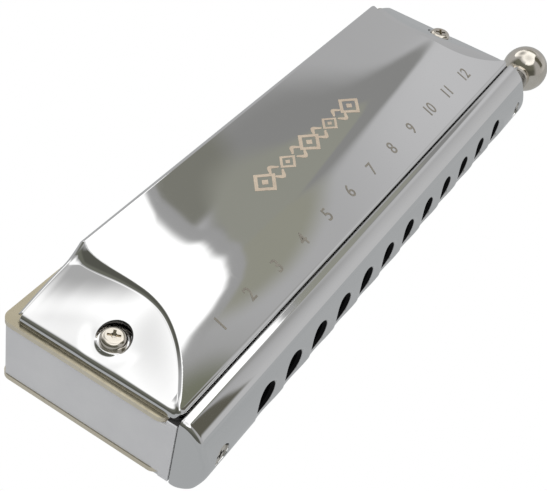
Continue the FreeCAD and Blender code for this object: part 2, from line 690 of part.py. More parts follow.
save("spring_post", cylinder(0.72, POST_X, BACKING_FRONT, POST_Z, FORWARD, 0.70))
save("slide_spring", make_spring())
save("slide_spring_fixed_leg", make_fixed_leg())
save("slide_stop_sleeves", *[stop_sleeve(x) for x in MOUTH_SCREW_X])
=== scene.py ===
"""A twelve-hole mouth organ with a slide button, lying flat.

x runs along its length, the mouthpiece faces -y, the upper cover faces +z.
Lengths in the code are millimetres unless a comment says metres; meshes are
scaled to metres as they are finished.
"""
import bisect
import json
import math
import bmesh
import bpy
from mathutils import Matrix, Vector


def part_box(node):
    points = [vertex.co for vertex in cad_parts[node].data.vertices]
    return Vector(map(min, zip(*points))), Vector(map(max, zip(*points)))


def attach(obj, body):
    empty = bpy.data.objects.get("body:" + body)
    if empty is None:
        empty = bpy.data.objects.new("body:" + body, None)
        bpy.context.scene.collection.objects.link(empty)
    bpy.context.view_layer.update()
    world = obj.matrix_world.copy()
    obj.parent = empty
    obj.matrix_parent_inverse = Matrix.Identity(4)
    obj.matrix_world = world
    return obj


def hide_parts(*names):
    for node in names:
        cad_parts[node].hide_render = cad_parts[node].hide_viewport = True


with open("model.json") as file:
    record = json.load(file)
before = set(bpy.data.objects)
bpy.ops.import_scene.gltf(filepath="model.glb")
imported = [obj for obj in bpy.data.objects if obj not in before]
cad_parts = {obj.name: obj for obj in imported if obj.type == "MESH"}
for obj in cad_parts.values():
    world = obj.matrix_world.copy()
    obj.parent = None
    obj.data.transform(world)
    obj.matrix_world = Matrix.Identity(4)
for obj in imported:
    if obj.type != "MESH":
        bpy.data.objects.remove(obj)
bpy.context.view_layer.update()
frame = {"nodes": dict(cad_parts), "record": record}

scene = bpy.context.scene
BODY = "instrument"
MM = 0.001


# ---------------------------------------------------------------- sizes taken from the frame
def box_mm(node):
    low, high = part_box(node)
    return [v * 1000 for v in low], [v * 1000 for v in high]


cover_low, cover_high = box_mm("upper_cover")
plate_low, plate_high = box_mm("upper_reed_plate")
mouth_low, mouth_high = box_mm("mouthpiece")
screws_low, screws_high = box_mm("upper_cover_screws")

Z_TOP = cover_high[2]
Z_MID = (mouth_low[2] + mouth_high[2]) / 2
Z_PLATE = plate_high[2]                     # outer face of the upper reed plate
X_MID = (cover_low[0] + cover_high[0]) / 2
COVER_HALF = (cover_high[0] - cover_low[0]) / 2
COVER_REAR = cover_high[1]
COVER_FRONT = cover_low[1]
HALF_LENGTH = 67.65                         # half the body
PITCH = 9.0                                 # from hole to hole
HOLES_X = [(k - 5.5) * PITCH for k in range(12)]
SEAT_INSET = 2.3                            # screw box side to seat centre
SEATS_X = (screws_low[0] + SEAT_INSET, screws_high[0] - SEAT_INSET)
SEAT_Y = (screws_low[1] + screws_high[1]) / 2
SEAT_Z = screws_high[2] - 1.4               # floor of the screw seats


# ---------------------------------------------------------------- shader graphs
def grey(value):
    return (value, value, value)


class Graph:
    "short ways to add nodes; a value is a number, an RGB tuple or an output socket"
    def __init__(self, tree):
        self.tree = tree

    def node(self, kind, **properties):
        node = self.tree.nodes.new(kind)
        for key, value in properties.items():
            setattr(node, key, value)
        return node

    def put(self, socket, value):
        if isinstance(value, (int, float)):
            socket.default_value = value
        elif isinstance(value, tuple):
            socket.default_value = (*value, 1)
        else:
            self.tree.links.new(value, socket)

    def math(self, operation, first, second=None):
        node = self.node("ShaderNodeMath", operation=operation)
        self.put(node.inputs[0], first)
        if second is not None:
            self.put(node.inputs[1], second)
        return node.outputs[0]

    def plus(self, first, second):
        return self.math("ADD", first, second)

    def minus(self, first, second):
        return self.math("SUBTRACT", first, second)

    def times(self, first, second):
        return self.math("MULTIPLY", first, second)

    def distance(self, first, second):
        squares = [self.math("POWER", v, 2.0) for v in (first, second)]
        return self.math("SQRT", self.plus(*squares))

    def split(self, vector):
        node = self.node("ShaderNodeSeparateXYZ")
        self.put(node.inputs[0], vector)
        return node.outputs

    def remap(self, value, start, end, low=0, high=1, kind="LINEAR"):
        "start..end becomes low..high"
        node = self.node("ShaderNodeMapRange", interpolation_type=kind)
        ranges = {"From Min": start, "From Max": end, "To Min": low, "To Max": high}
        for key, number in ranges.items():
            node.inputs[key].default_value = number
        self.put(node.inputs["Value"], value)
        return node.outputs["Result"]

    def mix(self, factor, first, second):
        node = self.node("ShaderNodeMix", data_type="RGBA")
        for index, value in ((0, factor), (6, first), (7, second)):
            self.put(node.inputs[index], value)
        return node.outputs[2]


class Material(Graph):
    def __init__(self, name, color, metallic, roughness):
        self.data = bpy.data.materials.new(name)
        self.data.use_nodes = True
        super().__init__(self.data.node_tree)
        self.shader = self.tree.nodes["Principled BSDF"]
        self.set("Base Color", color)
        self.set("Metallic", metallic)
        self.set("Roughness", roughness)
        self.coords = self.node("ShaderNodeTexCoord").outputs["Object"]

    def set(self, name, value):
        self.put(self.shader.inputs[name], value)

    def source(self, name):
        "the socket that drives an input now"
        return self.shader.inputs[name].links[0].from_socket

    def noise(self, scale, detail, stretch=(1, 1, 1)):
        mapping = self.node("ShaderNodeMapping")
        mapping.inputs["Scale"].default_value = stretch
        self.put(mapping.inputs["Vector"], self.coords)
        texture = self.node("ShaderNodeTexNoise")
        self.put(texture.inputs["Scale"], scale)
        self.put(texture.inputs["Detail"], detail)
        self.put(texture.inputs["Roughness"], 0.55)
        self.put(texture.inputs["Vector"], mapping.outputs[0])
        return texture.outputs["Fac"]

    def tones(self, pattern, light, dark, start=0.3, end=0.7):
        return self.mix(self.remap(pattern, start, end), light, dark)

    def bump(self, height, strength, distance):
        "distance in metres"
        node = self.node("ShaderNodeBump")
        self.put(node.inputs["Strength"], strength)
        self.put(node.inputs["Distance"], distance)
        self.put(node.inputs["Height"], height)
        self.set("Normal", node.outputs[0])


MATERIALS = {}


def chrome(name, color, roughness):
    "polished plating: faint haze patches, hairline wipe marks, a slight waviness"
    m = Material(name, color, metallic=1.0, roughness=roughness)
    haze = m.noise(scale=26, detail=3)
    hairs = m.noise(scale=900, detail=2, stretch=(1, 0.16, 1))
    base = m.remap(haze, start=0.35, end=0.7, low=roughness * 0.8, high=roughness * 1.5)
    marks = m.node("ShaderNodeValToRGB")
    for stop, position in zip(marks.color_ramp.elements, (0.66, 0.72)):
        stop.position = position
    m.put(marks.inputs["Fac"], hairs)
    mark_roughness = 0.012
    m.set("Roughness", m.plus(base, m.times(marks.outputs["Color"], mark_roughness)))
    dimmed = tuple(c * 0.965 for c in color)
    m.set("Base Color", m.tones(haze, color, dimmed, start=0.3, end=0.75))
    m.bump(m.noise(scale=55, detail=2), strength=0.25, distance=0.00004)
    MATERIALS[name] = m.data
    return m


def cover_chrome():
    """plating, with painted shade making the walls of the screw seats nearly black"""
    m = chrome("cover_chrome", (0.81, 0.81, 0.808), roughness=0.03)
    x, y, z = (m.times(axis, 1000.0) for axis in m.split(m.coords))
    nearest = None
    for seat in SEATS_X:
        radius = m.distance(m.minus(x, seat), m.minus(y, SEAT_Y))
        nearest = radius if nearest is None else m.math("MINIMUM", nearest, radius)
    # a ring round each seat centre, fading in above the seat floor: the painted shade on the
    # seat walls
    ring = m.times(m.remap(nearest, start=3.06, end=2.98),
                   m.remap(nearest, start=2.55, end=2.7))
    rise = m.remap(z, start=SEAT_Z + 0.05, end=SEAT_Z + 0.45, high=0.93)
    seat_wall_painted_shade = m.times(ring, rise)
    # painted shade: the seat walls get a near-black plating colour
    m.set("Base Color", m.mix(seat_wall_painted_shade, m.source("Base Color"), (0.05, 0.05, 0.055)))


def mouthpiece_chrome():
    """plating; painted shade makes the bores of the mouth holes and the inner part of their
    dishes nearly black, and they are rough and not metallic there
    """
    m = chrome("mouthpiece_chrome", (0.80, 0.80, 0.798), roughness=0.04)
    axes = m.split(m.coords)
    x = m.times(axes[0], 1000.0)
    z = m.minus(m.times(axes[2], 1000.0), Z_MID)
    # distance along x from the nearest hole centre
    half = PITCH / 2
    allowance = 0.0
    across = m.minus(m.math("PINGPONG", m.plus(x, half + 11 * PITCH), half), allowance)
    inside = m.remap(m.distance(across, z), start=3.36, end=3.26)
    in_row = m.math("LESS_THAN", m.math("ABSOLUTE", x), 6 * PITCH)
    # painted shade: the holes are coloured nearly black out to a radius of about 3.3 mm, past
    # the bore into the dish
    dark = m.times(inside, in_row)
    m.set("Base Color", m.mix(dark, m.source("Base Color"), (0.004, 0.004, 0.0045)))
    m.set("Metallic", m.minus(1.0, dark))
    specular, specular_loss, added_roughness = 0.5, 0.45, 0.6
    m.set("Specular IOR Level", m.minus(specular, m.times(dark, specular_loss)))
    m.set("Roughness", m.plus(m.source("Roughness"), m.times(dark, added_roughness)))


def comb_plastic():
    """light grey plastic; painted shade makes it nearly black on the top front of the comb, in
    the gap by the mouthpiece
    """
    m = Material("comb_plastic", (0.44, 0.44, 0.45), metallic=0.0, roughness=0.42)
    mottle = m.noise(scale=140, detail=5)
    grain = m.noise(scale=2600, detail=2)
    x, y, z = m.split(m.coords)
    # the painted shade in that gap lies above, in front of and to the +x side of these planes
    # (metres)
    above, front, from_x = 0.0208, -0.0226, -0.0685
    gap_painted_shade = m.times(m.math("GREATER_THAN", z, above), m.math("LESS_THAN", y, front))
    gap_painted_shade = m.times(gap_painted_shade, m.math("GREATER_THAN", x, from_x))
    plastic = m.tones(mottle, (0.60, 0.60, 0.605), (0.56, 0.56, 0.57))
    # painted shade: the gap on the comb top is coloured nearly black
    m.set("Base Color", m.mix(gap_painted_shade, plastic, (0.012, 0.011, 0.011)))
    m.set("Roughness", m.remap(mottle, start=0.3, end=0.7, low=0.36, high=0.5))
    m.bump(grain, strength=0.22, distance=0.00003)
    MATERIALS["comb_plastic"] = m.data


def reed_plate_brass():
    """brushed brass, smoother on the flat faces; the pale edges are a painted highlight and the
    darker flat faces painted shade
    """
    m = Material("reed_plate_brass", (0.62, 0.56, 0.44), metallic=1.0, roughness=0.34)
    mottle = m.noise(scale=60, detail=5)
    brushing = m.noise(scale=900, detail=3, stretch=(0.06, 1, 1))
    normal = m.split(m.node("ShaderNodeNewGeometry").outputs["Normal"])
    flat = m.remap(m.math("ABSOLUTE", normal[2]), start=0.5, end=0.8)
    # painted light chosen by the way each face points: highlight on the edges, shade on the
    # flat faces; the mottle within each is the brass's own tone
    edge_painted_highlight = m.tones(mottle, (0.93, 0.86, 0.71), (0.84, 0.77, 0.62))
    flat_painted_shade = m.tones(mottle, (0.47, 0.425, 0.32), (0.40, 0.36, 0.26))
    m.set("Base Color", m.mix(flat, edge_painted_highlight, flat_painted_shade))
    smoothing = 0.2
    rough = m.remap(brushing, start=0.3, end=0.7, low=0.34, high=0.5)
    m.set("Roughness", m.minus(rough, m.times(flat, smoothing)))
    m.bump(brushing, strength=0.25, distance=0.00002)
    MATERIALS["reed_plate_brass"] = m.data


def grained(name, color, metallic, roughness, grain, tones, rough=None,
            tone_grain=None, tone_start=0.3, bump=None, bump_grain=None):
    """One noise (grain) drives roughness (rough: low, high), the mix of two tones and
    the bump, unless the tones or the bump have a noise of their own."""
    m = Material(name, color, metallic, roughness)
    pattern = m.noise(**grain)
    if rough:
        m.set("Roughness", m.remap(pattern, 0.3, 0.7, *rough))
    tone_pattern = m.noise(**tone_grain) if tone_grain else pattern
    m.set("Base Color", m.tones(tone_pattern, *tones, start=tone_start))
    if bump:
        m.bump(m.noise(**bump_grain) if bump_grain else pattern, **bump)
    MATERIALS[name] = m.data


def part_materials():
    cover_chrome()
    mouthpiece_chrome()
    grained("button_nickel", (0.74, 0.70, 0.63), metallic=1.0, roughness=0.12,
            grain=dict(scale=300, detail=4), rough=(0.08, 0.17),
            tones=((0.76, 0.72, 0.65), (0.68, 0.63, 0.55)), tone_start=0.35,
            bump_grain=dict(scale=700, detail=3), bump=dict(strength=0.15, distance=0.00002))
    grained("screw_nickel", (0.74, 0.69, 0.62), metallic=1.0, roughness=0.2,
            grain=dict(scale=500, detail=4), rough=(0.07, 0.16),
            tone_grain=dict(scale=600, detail=3), tone_start=0.4,
            tones=((0.74, 0.69, 0.61), (0.66, 0.61, 0.53)),
            bump_grain=dict(scale=900, detail=2), bump=dict(strength=0.2, distance=0.00002))
    comb_plastic()
    reed_plate_brass()
    grained("reed_brass", (0.74, 0.56, 0.28), metallic=1.0, roughness=0.25,
            grain=dict(scale=1500, detail=3, stretch=(1, 0.05, 1)), rough=(0.18, 0.36),
            tones=((0.78, 0.60, 0.31), (0.66, 0.49, 0.23)),
            bump=dict(strength=0.3, distance=0.00001))
    grained("rivet_brass", (0.72, 0.55, 0.28), metallic=1.0, roughness=0.22,
            grain=dict(scale=800, detail=3), rough=(0.16, 0.32),
            tones=((0.76, 0.59, 0.31), (0.62, 0.46, 0.22)))
    grained("valve_film", (0.80, 0.79, 0.74), metallic=0.0, roughness=0.45,
            grain=dict(scale=400, detail=4), rough=(0.35, 0.6),
            tones=((0.82, 0.81, 0.76), (0.72, 0.71, 0.66)),
            bump=dict(strength=0.2, distance=0.00002))
    grained("plate_screw", (0.56, 0.55, 0.53), metallic=1.0, roughness=0.32,
            grain=dict(scale=900, detail=3), rough=(0.24, 0.42),
            tones=((0.60, 0.59, 0.57), (0.46, 0.45, 0.43)))
    grained("slide_metal", (0.60, 0.60, 0.60), metallic=1.0, roughness=0.3,
            grain=dict(scale=1400, detail=3, stretch=(0.05, 1, 1)), rough=(0.22, 0.42),
            tone_grain=dict(scale=90, detail=4), tones=(grey(0.63), grey(0.53)),
            bump=dict(strength=0.2, distance=0.00001))
    grained("spring_steel", (0.45, 0.45, 0.46), metallic=1.0, roughness=0.3,
            grain=dict(scale=1200, detail=3), rough=(0.22, 0.4),
            tones=((0.48, 0.48, 0.49), (0.36, 0.36, 0.37)))
    grained("sleeve_rubber", grey(0.10), metallic=0.0, roughness=0.6,
            grain=dict(scale=700, detail=3), tones=(grey(0.11), grey(0.07)),
            bump=dict(strength=0.2, distance=0.00002))


part_materials()
for part in frame["record"]["subparts"]:
    part_slots = frame["nodes"][part["node"]].data.materials
    if not part_slots:
        part_slots.append(None)
    for index in range(len(part_slots)):
        part_slots[index] = MATERIALS[part["material_slot"]]


# ---------------------------------------------------------------- mesh helpers
def to_mesh(bm, name):
    mesh = bpy.data.meshes.new(name)
    bm.to_mesh(mesh)
    bm.free()
    return mesh


def smooth_mesh(bm, name):
    "smooth shaded, scaled to metres"
    for face in bm.faces:
        face.smooth = True
    for vert in bm.verts:
        vert.co *= MM
    return to_mesh(bm, name)


def add_object(name, mesh, material, replaced=()):
    obj = bpy.data.objects.new(name, mesh)
    scene.collection.objects.link(obj)
    mesh.materials.clear()
    mesh.materials.append(MATERIALS[material])
    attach(obj, BODY)
    if replaced:
        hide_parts(*replaced)
    return obj


# ---------------------------------------------------------------- cover as a height field
FRONT_SLOPE = math.radians(19.0)
LINE_Y, LINE_Z = -22.7, Z_PLATE + 2.6       # a point on the front slope
Y_BEND = LINE_Y + (Z_TOP - LINE_Z) / math.tan(FRONT_SLOPE)
BEND_SOFTNESS = 1.5
EDGE_RX, EDGE_RY = 0.80, 0.62               # rounding of the end and of the front edges
CORNER_R = 1.6                              # front corners in plan
REAR_R = 0.95                               # roll of the rear edge
Z_SCOOP = Z_PLATE + 1.78                    # scoop height where the end rounding starts
X_SCOOP = HALF_LENGTH - COVER_HALF + EDGE_RX  # that place, from the body's end
COVER_WALL = 0.00045                        # metres

# Edge of the raised part: y, distance from the body's end.
ARCH = [
    (12.0, 19.6), (8.2, 18.0), (7.4, 17.3), (6.4, 16.4), (5.0, 15.5), (2.0, 14.95),
    (-4.5, 14.8), (-8.8, 14.45), (-13.0, 13.3), (-16.7, 11.0), (-19.8, 7.9),
    (-22.4, 4.3), (-24.2, 1.4), (-25.5, -1.0)]
# At the +x end the raised part reaches further out at the rear corner.
ARCH_RIGHT = [
    (12.0, 11.6), (8.2, 11.9), (7.4, 12.1), (6.4, 12.55), (5.0, 13.3), (2.0, 14.45),
] + ARCH[6:]
# Wall between the raised part and the scooped end: y, height.
STEP = [
    (12.0, 1.3), (7.8, 1.6), (5.5, 1.75), (2.0, 1.4), (-2.0, 1.0), (-6.0, 0.75),
    (-11.0, 0.6), (-16.0, 0.55), (-20.0, 0.5), (-23.0, 0.45), (-25.5, 0.4)]


def table_at(table, y):
    "smooth interpolation through a table that runs down in y"
    count = len(table)
    ys = [row[0] for row in table]
    values = [row[1] for row in table]
    if y >= ys[0]:
        return values[0]
    if y <= ys[-1]:
        return values[-1]
    i = max(j for j in range(count - 1) if ys[j] >= y)

    def slope(j):
        a, b = max(0, j - 1), min(count - 1, j + 1)
        return (values[b] - values[a]) / (ys[b] - ys[a])

    span = ys[i + 1] - ys[i]
    t = (y - ys[i]) / span
    m0, m1 = slope(i) * span, slope(i + 1) * span
    return ((2 * t**3 - 3 * t**2 + 1) * values[i] + (t**3 - 2 * t**2 + t) * m0
            + (-2 * t**3 + 3 * t**2) * values[i + 1] + (t**3 - t**2) * m1)


def soft_step(start, end, value):
    t = min(1.0, max(0.0, (value - start) / (end - start)))
    return t * t * t * (t * (t * 6 - 15) + 10)


def raised_height(y):
    "flat at the rear, then a soft bend into the front slope"
    e = (Y_BEND - y) / BEND_SOFTNESS
    drop = e + math.log1p(math.exp(-e)) if e > 0 else math.log1p(math.exp(e))
    return Z_TOP - math.tan(FRONT_SLOPE) * BEND_SOFTNESS * drop


arch_cache = {}


def arch_at(y, right):
    "distance of the arch line from the body's end, and its slope along y"
    key = round(y, 3), right
    if key not in arch_cache:
        table = ARCH_RIGHT if right else ARCH
        slope = (table_at(table, y + 0.2) - table_at(table, y - 0.2)) / 0.4
        arch_cache[key] = table_at(table, y), slope
    return arch_cache[key]


def cover_height(x, y):
    top = raised_height(y)
    arch, slope = arch_at(y, x > X_MID)
    from_end = HALF_LENGTH - abs(x - X_MID)
    inside = (from_end - arch) / math.sqrt(1 + slope * slope)  # past the arch line in plan
    if inside < 4.0:
        step = table_at(STEP, y)
        foot = max(raised_height(max(y, -22.0)) - step, Z_SCOOP - 0.05)
        t = (from_end - X_SCOOP) / max(0.5, (arch - X_SCOOP))
        t = min(max(t, 0.0), 1.0)
        scoop = Z_SCOOP + (foot - Z_SCOOP) * (1.4 * t - 0.4 * t * t)
        # the wall curves up out of the floor and ends in a crisp edge
        wall = (0.15 + 0.95 * step) * (1 + 0.9 * soft_step(4.8, 7.6, y))
        blend = min(1.0, max(0.0, (inside + wall) / wall)) ** 2
        z = scoop * (1 - blend) + top * blend
        # near the front the raised part and the end land run together
        if z > top:
            keep = soft_step(-23.6, -20.8, y)
            z = z * keep + min(z, top + 0.35) * (1 - keep)
    else:
        z = top
    radius = min(math.hypot(x - seat, y - SEAT_Y) for seat in SEATS_X)
    if radius < 6.0:
        # the sheet dips a little round the low side of the seat
        low_side = soft_step(SEAT_Z + 1.1, SEAT_Z - 0.1, z)
        z -= 0.12 * soft_step(6.0, 3.2, radius) * low_side
        outside = soft_step(2.62, 3.02, radius)
        z = SEAT_Z * (1 - outside) + z * outside
    return z


def spread(start, end, features, coarse, fine):
    "stations from start to end, finer near the features (centre, half width)"
    stations = [start]
    v = start
    while v < end - 1e-9:
        step = coarse
        for centre, width in features:
            away = abs(v - centre)
            if away < width:
                step = min(step, fine)
            elif away < width * 2.2:
                step = min(step, fine + (coarse - fine) * (away - width) / (width * 1.2))
        v = min(end, v + step)
        stations.append(v)
    if stations[-1] - stations[-2] < fine * 0.3:
        stations.pop(-2)
    return stations


def cover_grid(bm):
    "top surface, as rows of vertices from front to rear"
    front, inner_r = COVER_FRONT + EDGE_RY, CORNER_R - EDGE_RY
    half = COVER_HALF - EDGE_RX
    left, right = X_MID - COVER_HALF + EDGE_RX, X_MID + COVER_HALF - EDGE_RX
    ys = spread(front, COVER_REAR - REAR_R,
                [(SEAT_Y, 3.3), (COVER_FRONT, 2.5), (COVER_REAR, 1.5), (Y_BEND, 3.0),
                 (-17.5, 5.5)], coarse=0.36, fine=0.12)
    features = [(seat, 3.3) for seat in SEATS_X]
    features += [(X_MID + side * (HALF_LENGTH - 13.5), 4.5) for side in (-1, 1)]
    features += [(left, 1.5), (right, 1.5)]
    xs = spread(left, right, features, coarse=1.5, fine=0.12)
    shares = [(x - X_MID) / (right - X_MID) for x in xs]
    rows = []
    for y in ys:
        dy = y - front
        inset = 0.0
        if dy < inner_r:
            inset = inner_r - math.sqrt(max(0.0, inner_r * inner_r - (inner_r - dy) ** 2))
        width = half - inset
        row_xs = [X_MID + share * width for share in shares]
        rows.append([bm.verts.new((x, y, cover_height(x, y))) for x in row_xs])
    for near, far in zip(rows, rows[1:]):
        for i in range(len(xs) - 1):
            bm.faces.new((near[i], near[i + 1], far[i + 1], far[i]))
    return rows


def border_normals(points):
    "outward plan directions along the border, eased round the front corners"
    corner_end = COVER_FRONT + EDGE_RY + CORNER_R - EDGE_RY
    last = len(points) - 1
    normals = []
    for i, point in enumerate(points):
        a, b = points[max(0, i - 1)], points[min(last, i + 1)]
        along = Vector((b.x - a.x, b.y - a.y, 0)).normalized()
        if point.y > corner_end + 0.01:
            normals.append(Vector((-1 if point.x < X_MID else 1, 0, 0)))
        else:
            normals.append(Vector((along.y, -along.x, 0)))
    for _ in range(2):
        normals = [
            (normals[max(0, i - 1)] + normals[i] * 2 + normals[min(last, i + 1)]).normalized()
            if point.y < corner_end + 0.3 else normals[i]
            for i, point in enumerate(points)]
    return normals


def border_falls(points, normals):
    "the angle the sheet already falls at where its rolled edge starts"
    probe = 0.12
    last = len(points) - 1
    falls = []
    for p, out in zip(points, normals):
        rise = cover_height(p.x - out.x * probe, p.y - out.y * probe) - p.z
        falls.append(min(0.9, max(0.0, math.atan2(rise, probe))))
    for _ in range(3):
        falls = [(falls[max(0, i - 1)] + falls[i] * 2 + falls[min(last, i + 1)]) / 4
                 for i in range(last + 1)]
    return falls


def cover_sides(bm, rows):
    "rolled edge and upright wall along the left end, the front and the right end"
    border = [row[0] for row in reversed(rows)][:-1] + rows[0] + [row[-1] for row in rows][1:]
    points = [vert.co.copy() for vert in border]
    normals = border_normals(points)
    falls = border_falls(points, normals)
    roll_steps, wall_steps = 9, 6
    rings = []
    for k in range(1, roll_steps + 1):
        ring = []
        for p, out, fall in zip(points, normals, falls):
            angle = fall + (math.pi / 2 - fall) * k / roll_steps
            left_over = 1 - math.sin(fall)
            radius_z = math.hypot(out.x * EDGE_RX, out.y * EDGE_RY) / left_over
            share = (math.sin(angle) - math.sin(fall)) / left_over
            ring.append(Vector((p.x + out.x * EDGE_RX * share, p.y + out.y * EDGE_RY * share,
                                p.z - radius_z * (math.cos(fall) - math.cos(angle)))))
        rings.append(ring)
    rolled = rings[-1]
    bottom = Z_PLATE + 0.02
    for k in range(1, wall_steps + 1):
        t = k / wall_steps
        rings.append([Vector((p.x, p.y, p.z * (1 - t) + bottom * t)) for p in rolled])
    above = border
    for ring in rings:
        below = [bm.verts.new(p) for p in ring]
        for i in range(len(below) - 1):
            bm.faces.new((above[i], below[i], below[i + 1], above[i + 1]))
        above = below


def cover_rear(bm, row):
    "the rear edge rolls down"
    steps, sweep = 7, math.radians(84)
    above = row
    for k in range(1, steps + 1):
        angle = sweep * k / steps
        y = COVER_REAR - REAR_R + REAR_R * math.sin(angle)
        drop = REAR_R * (1 - math.cos(angle))
        below = [bm.verts.new((vert.co.x, y, vert.co.z - drop)) for vert in row]
        for i in range(len(below) - 1):
            bm.faces.new((above[i + 1], below[i + 1], below[i], above[i]))
        above = below


def cover_mesh():
    bm = bmesh.new()
    rows = cover_grid(bm)
    cover_sides(bm, rows)
    cover_rear(bm, rows[-1])

    def under_screw(face):
        centre = face.calc_center_median()
        return min(math.hypot(centre.x - seat, centre.y - SEAT_Y) for seat in SEATS_X) < 1.05

    opened = [face for face in bm.faces if under_screw(face)]
    bmesh.ops.delete(bm, geom=opened, context="FACES")
    bmesh.ops.recalc_face_normals(bm, faces=bm.faces)
    if sum(face.normal.z * face.calc_area() for face in bm.faces) < 0:
        bmesh.ops.reverse_faces(bm, faces=bm.faces)
    return smooth_mesh(bm, "upper_cover_shell")


def add_cover(name, mesh, replaced):
    obj = add_object(name, mesh, "cover_chrome", (replaced,))
    wall = obj.modifiers.new("wall", "SOLIDIFY")
    wall.thickness = COVER_WALL
    wall.offset = -1
    wall.use_even_offset = True
    wall.use_quality_normals = True
    wall.use_rim = True


upper_mesh = cover_mesh()
add_cover("upper_cover_shell", upper_mesh, "upper_cover")
lower_mesh = upper_mesh.copy()
for vertex in lower_mesh.vertices:
    vertex.co.z = 2 * Z_MID * MM - vertex.co.z
lower_mesh.flip_normals()
add_cover("lower_cover_shell", lower_mesh, "lower_cover")

# ---------------------------------------------------------------- mouthpiece
# Places are x, depth (forward, toward -y, of the back plane) and height (above Z_MID).
M_LEFT, M_RIGHT, M_BACK = mouth_low[0], mouth_high[0], mouth_high[1]
M_DEPTH = M_BACK - mouth_low[1]
BACK_HALF = 8.23                            # half height of the back face
END_R = 1.1                                 # rounding of both ends
END_STEPS = 8
BAND_HALF = 4.4                             # half height of the band with the openings
BAND_ROWS = 18
LIP_STEPS = 40                              # from the band to the back edge
HOLE_R = 2.65
DISH_R, DISH_INNER, DISH_DEPTH = 4.46, 2.5, 1.65
SCREW_BORE_R, SCREW_HEAD_R, SCREW_LIP_R = 1.25, 2.1, 0.3
SCREW_STEP = M_DEPTH - 1.75                 # depth where the bore widens
RECESS = 1.6                                # recess in the back
RECESS_HALF = 6.85
RECESS_LEFT = M_LEFT + 1.4
# Upper half of the cross-section: depth, height.
HALF_OUTLINE = [
    (0.25, 8.36), (0.8, 8.335), (1.35, 8.22), (2.0, 7.93), (2.7, 7.48), (3.3, 7.01),
    (4.1, 6.16), (4.75, 5.0), (5.45, 3.4), (6.05, 1.7), (M_DEPTH, 0.0)]
# Square fields round the openings: x, half width, columns, kind.
CELLS = sorted([(x, PITCH / 2, 18, "hole") for x in HOLES_X]
               + [(-63.7, 3.3, 12, "screw"), (62.0, 3.0, 12, "screw")])
BAND = [-BAND_HALF + 2 * BAND_HALF * i / BAND_ROWS for i in range(BAND_ROWS + 1)]


def spline(points):
    "natural cubic spline through plan points: its function and its chord length"
    count = len(points)
    t = [0.0]
    for a, b in zip(points, points[1:]):
        t.append(t[-1] + math.hypot(b[0] - a[0], b[1] - a[1]))
    axes = []
    for values in zip(*points):
        # tridiagonal system for the second derivatives
        lower, diagonal, upper, rhs = ([q] * count for q in (0.0, 1.0, 0.0, 0.0))
        for i in range(1, count - 1):
            h0, h1 = t[i] - t[i - 1], t[i + 1] - t[i]
            lower[i], diagonal[i], upper[i] = h0, 2 * (h0 + h1), h1
            rhs[i] = 6 * ((values[i + 1] - values[i]) / h1 - (values[i] - values[i - 1]) / h0)
        for i in range(1, count):
            w = lower[i] / diagonal[i - 1]
            diagonal[i] -= w * upper[i - 1]
            rhs[i] -= w * rhs[i - 1]
        bend = [0.0] * count
        bend[-1] = rhs[-1] / diagonal[-1]
        for i in range(count - 2, -1, -1):
            bend[i] = (rhs[i] - upper[i] * bend[i + 1]) / diagonal[i]
        axes.append((values, bend))

    def evaluate(u):
        i = 0
        while i < count - 2 and u > t[i + 1]:
            i += 1
        h = t[i + 1] - t[i]
        a, b = (t[i + 1] - u) / h, (u - t[i]) / h
        return tuple(
            a * v[i] + b * v[i + 1] + ((a**3 - a) * m[i] + (b**3 - b) * m[i + 1]) * h * h / 6
            for v, m in axes)
    return evaluate, t[-1]


outline, OUTLINE_LENGTH = spline(
    HALF_OUTLINE + [(depth, -height) for depth, height in reversed(HALF_OUTLINE[:-1])])


def outline_samples():
    "height, depth, spline parameter, with rising height"
    count, samples = 3000, []
    for i in range(count + 1):
        t = OUTLINE_LENGTH / 2 * i / count
        depth, height = outline(t)
        samples.append((height, depth, t))
    return samples[::-1]


SAMPLES = outline_samples()
SAMPLE_HEIGHTS = [sample[0] for sample in SAMPLES]


def outline_at(height):
    "depth and spline parameter of the outline at a height"
    height = abs(height)
    i = bisect.bisect_right(SAMPLE_HEIGHTS, height) - 1
    i = min(len(SAMPLES) - 2, max(0, i))
    a, b = SAMPLES[i], SAMPLES[i + 1]
    k = (height - a[0]) / (b[0] - a[0])
    return a[1] + (b[1] - a[1]) * k, a[2] + (b[2] - a[2]) * k


def front_depth(height):
    return outline_at(height)[0]


class Skin:
    "a bmesh that shares vertices by place"
    def __init__(self):
        self.bm = bmesh.new()
        self.verts = {}

    def vert(self, x, depth, height):
        key = (round(x, 4), round(depth, 4), round(height, 4))
        if key not in self.verts:
            self.verts[key] = self.bm.verts.new((x, M_BACK - depth, Z_MID + height))
        return self.verts[key]

    def face(self, *verts):
        distinct = list(dict.fromkeys(verts))
        if len(distinct) > 2:
            try:
                self.bm.faces.new(distinct)
            except ValueError:
                pass                        # this face is there already

    def patch(self, *places):
        self.face(*[self.vert(*place) for place in places])


def mouth_stations():
    "x stations between the rounded ends"
    xs = [M_LEFT + END_R, M_LEFT + END_R + 0.25]
    for centre, half, columns, _ in CELLS:
        start, last = centre - half, xs[-1]
        gap = start - last
        if gap > 1e-6:
            count = max(1, int(round(gap / 0.5)))
            xs += [last + gap * (i + 1) / count for i in range(count)]
        xs += [start + 2 * half * (i + 1) / columns for i in range(columns)]
    return xs + [M_RIGHT - END_R]


def in_cell(a, b):
    return any(a > x - half - 1e-4 and b < x + half + 1e-4 for x, half, _, _ in CELLS)


